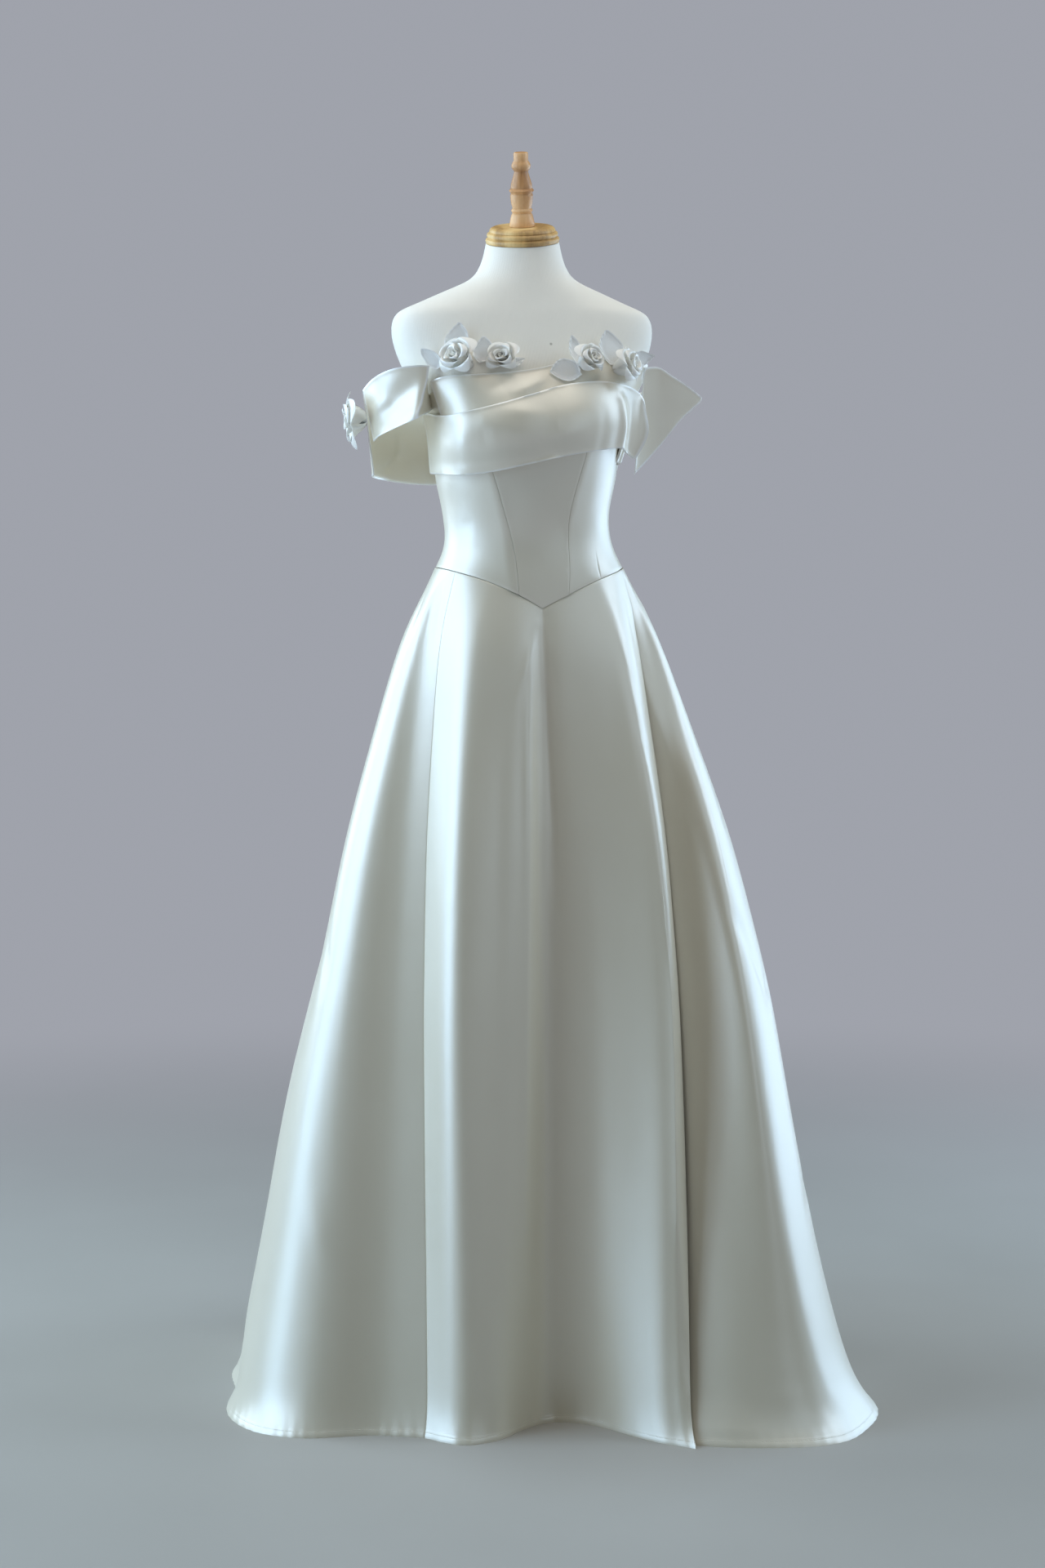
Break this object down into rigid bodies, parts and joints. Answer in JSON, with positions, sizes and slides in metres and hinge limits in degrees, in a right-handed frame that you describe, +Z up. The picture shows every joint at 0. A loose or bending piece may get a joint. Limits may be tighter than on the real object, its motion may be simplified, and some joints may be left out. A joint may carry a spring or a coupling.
{
  "type": "wedding dress on dress form",
  "caption": "Off-the-shoulder satin A-line wedding gown with folded bands, fabric roses and a gored floor-length skirt, standing on a limbless dress form.",
  "frame": {"origin": "middle of the underside of the stand's round base, on the floor", "axes": "+Z up along the stand, -Y towards the front of the gown, +X towards the wearer's left"},
  "size_m": [0.9414, 0.9284, 1.7839],
  "materials": {
    "satin": "satin",
    "organza": "sheer",
    "jersey": "matte",
    "cap_wood": "satin",
    "finial_wood": "satin",
    "painted_steel": "satin",
    "zip_nickel": "polished"
  },
  "bodies": {
    "root": {"form_torso": "jersey", "form_neck_cap": "cap_wood", "form_finial": "finial_wood", "stand_base": "painted_steel", "stand_pole": "painted_steel", "stand_plate": "painted_steel", "bodice_front_centre": "satin", "bodice_side_front_right": "satin", "bodice_side_front_left": "satin", "bodice_side_back_right": "satin", "bodice_side_back_left": "satin", "bodice_back_right": "satin", "bodice_back_left": "satin", "skirt_front_centre": "satin", "skirt_side_front_right": "satin", "skirt_side_front_left": "satin", "skirt_side_back_right": "satin", "skirt_side_back_left": "satin", "skirt_back_right": "satin", "skirt_back_left": "satin", "band_upper": "satin", "band_lower": "satin", "band_back_right": "satin", "band_back_left": "satin", "sleeve_right_front": "satin", "sleeve_right_back": "satin", "sleeve_left_front": "satin", "sleeve_left_back": "satin", "rose_right_outer": "satin", "rose_right_inner": "satin", "rose_left_inner": "satin", "rose_left_outer": "satin", "rosette_sleeve": "satin", "petal_right_peak": "organza", "petal_right_tip": "organza", "petal_right_middle": "organza", "petal_right_low": "organza", "petal_left_band": "organza", "petal_left_tip": "organza", "petal_left_peak": "organza", "petal_left_leaf": "organza", "zip_slider": "zip_nickel"},
    "zip_pull": {"zip_pull": "zip_nickel"}
  },
  "joints": [
    {"name": "zip_pull_swing", "type": "hinge", "parent": "root", "child": "zip_pull", "pos_m": [0, 0.09503, 1.3845], "axis": [1, 0, 0], "range_deg": [0, 150]}
  ]
}
